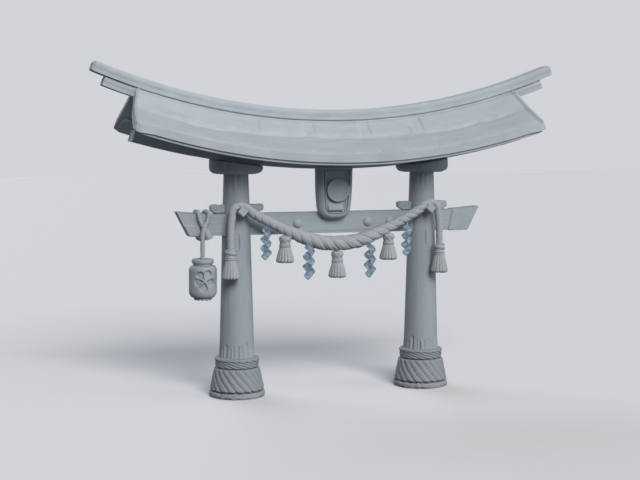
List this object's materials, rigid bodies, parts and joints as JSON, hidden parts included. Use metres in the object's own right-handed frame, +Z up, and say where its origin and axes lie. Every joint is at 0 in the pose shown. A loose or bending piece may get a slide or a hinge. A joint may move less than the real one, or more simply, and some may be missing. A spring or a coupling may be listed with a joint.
{
  "type": "shrine gate",
  "caption": "Timber shrine gate with tapered round posts, a curved pitched roof, a tie beam with tablet, a swagged straw rope with tassels and paper streamers, and a hanging lantern.",
  "frame": {"origin": "on the ground, midway between the two posts", "axes": "+X along the gate to the right seen from the front, +Y through the gate to the rear, +Z up"},
  "size_m": [7.3698, 1.926, 5.0658],
  "materials": {
    "post_timber": "matte",
    "beam_timber": "matte",
    "roof_timber": "matte",
    "tablet_timber": "matte",
    "plinth_stone": "matte",
    "straw_rope": "matte",
    "streamer_paper": "matte",
    "lantern_paper": "matte",
    "lantern_timber": "matte"
  },
  "bodies": {
    "gate": {"beam_bosses": "beam_timber", "beam_caps": "beam_timber", "beam_wedges": "beam_timber", "capital_left": "post_timber", "capital_right": "post_timber", "eave_board_front": "roof_timber", "eave_board_rear": "roof_timber", "foot_collar_left": "straw_rope", "foot_collar_right": "straw_rope", "foot_wrap_left": "straw_rope", "foot_wrap_right": "straw_rope", "lantern_tie": "straw_rope", "lintel": "beam_timber", "lintel_ends": "beam_timber", "paper_streamers": "streamer_paper", "plinth_left": "plinth_stone", "plinth_right": "plinth_stone", "post_left": "post_timber", "post_right": "post_timber", "ridge_beam": "roof_timber", "ridge_cap": "roof_timber", "roof_ribs": "roof_timber", "roof_slope_front": "roof_timber", "roof_slope_rear": "roof_timber", "rope_pegs": "beam_timber", "rope_swag": "straw_rope", "rope_tail_left": "straw_rope", "rope_tail_right": "straw_rope", "rope_tassel_centre": "straw_rope", "rope_tassel_left": "straw_rope", "rope_tassel_right": "straw_rope", "strut": "beam_timber", "tablet_board": "tablet_timber", "tablet_disc": "tablet_timber", "tablet_frame": "tablet_timber", "tablet_shelf": "tablet_timber", "tail_tassel_left": "straw_rope", "tail_tassel_right": "straw_rope", "tie_beam": "beam_timber", "verge_trims": "roof_timber"},
    "lantern": {"lantern_rope": "straw_rope", "lantern_cap": "lantern_timber", "lantern_shade": "lantern_paper", "lantern_foot": "lantern_timber"}
  },
  "joints": [
    {"name": "lantern_swing", "type": "hinge", "parent": "gate", "child": "lantern", "pos_m": [-2.066, -0.196, 2.372], "axis": [1, 0, 0], "range_deg": [-20, 20]}
  ]
}
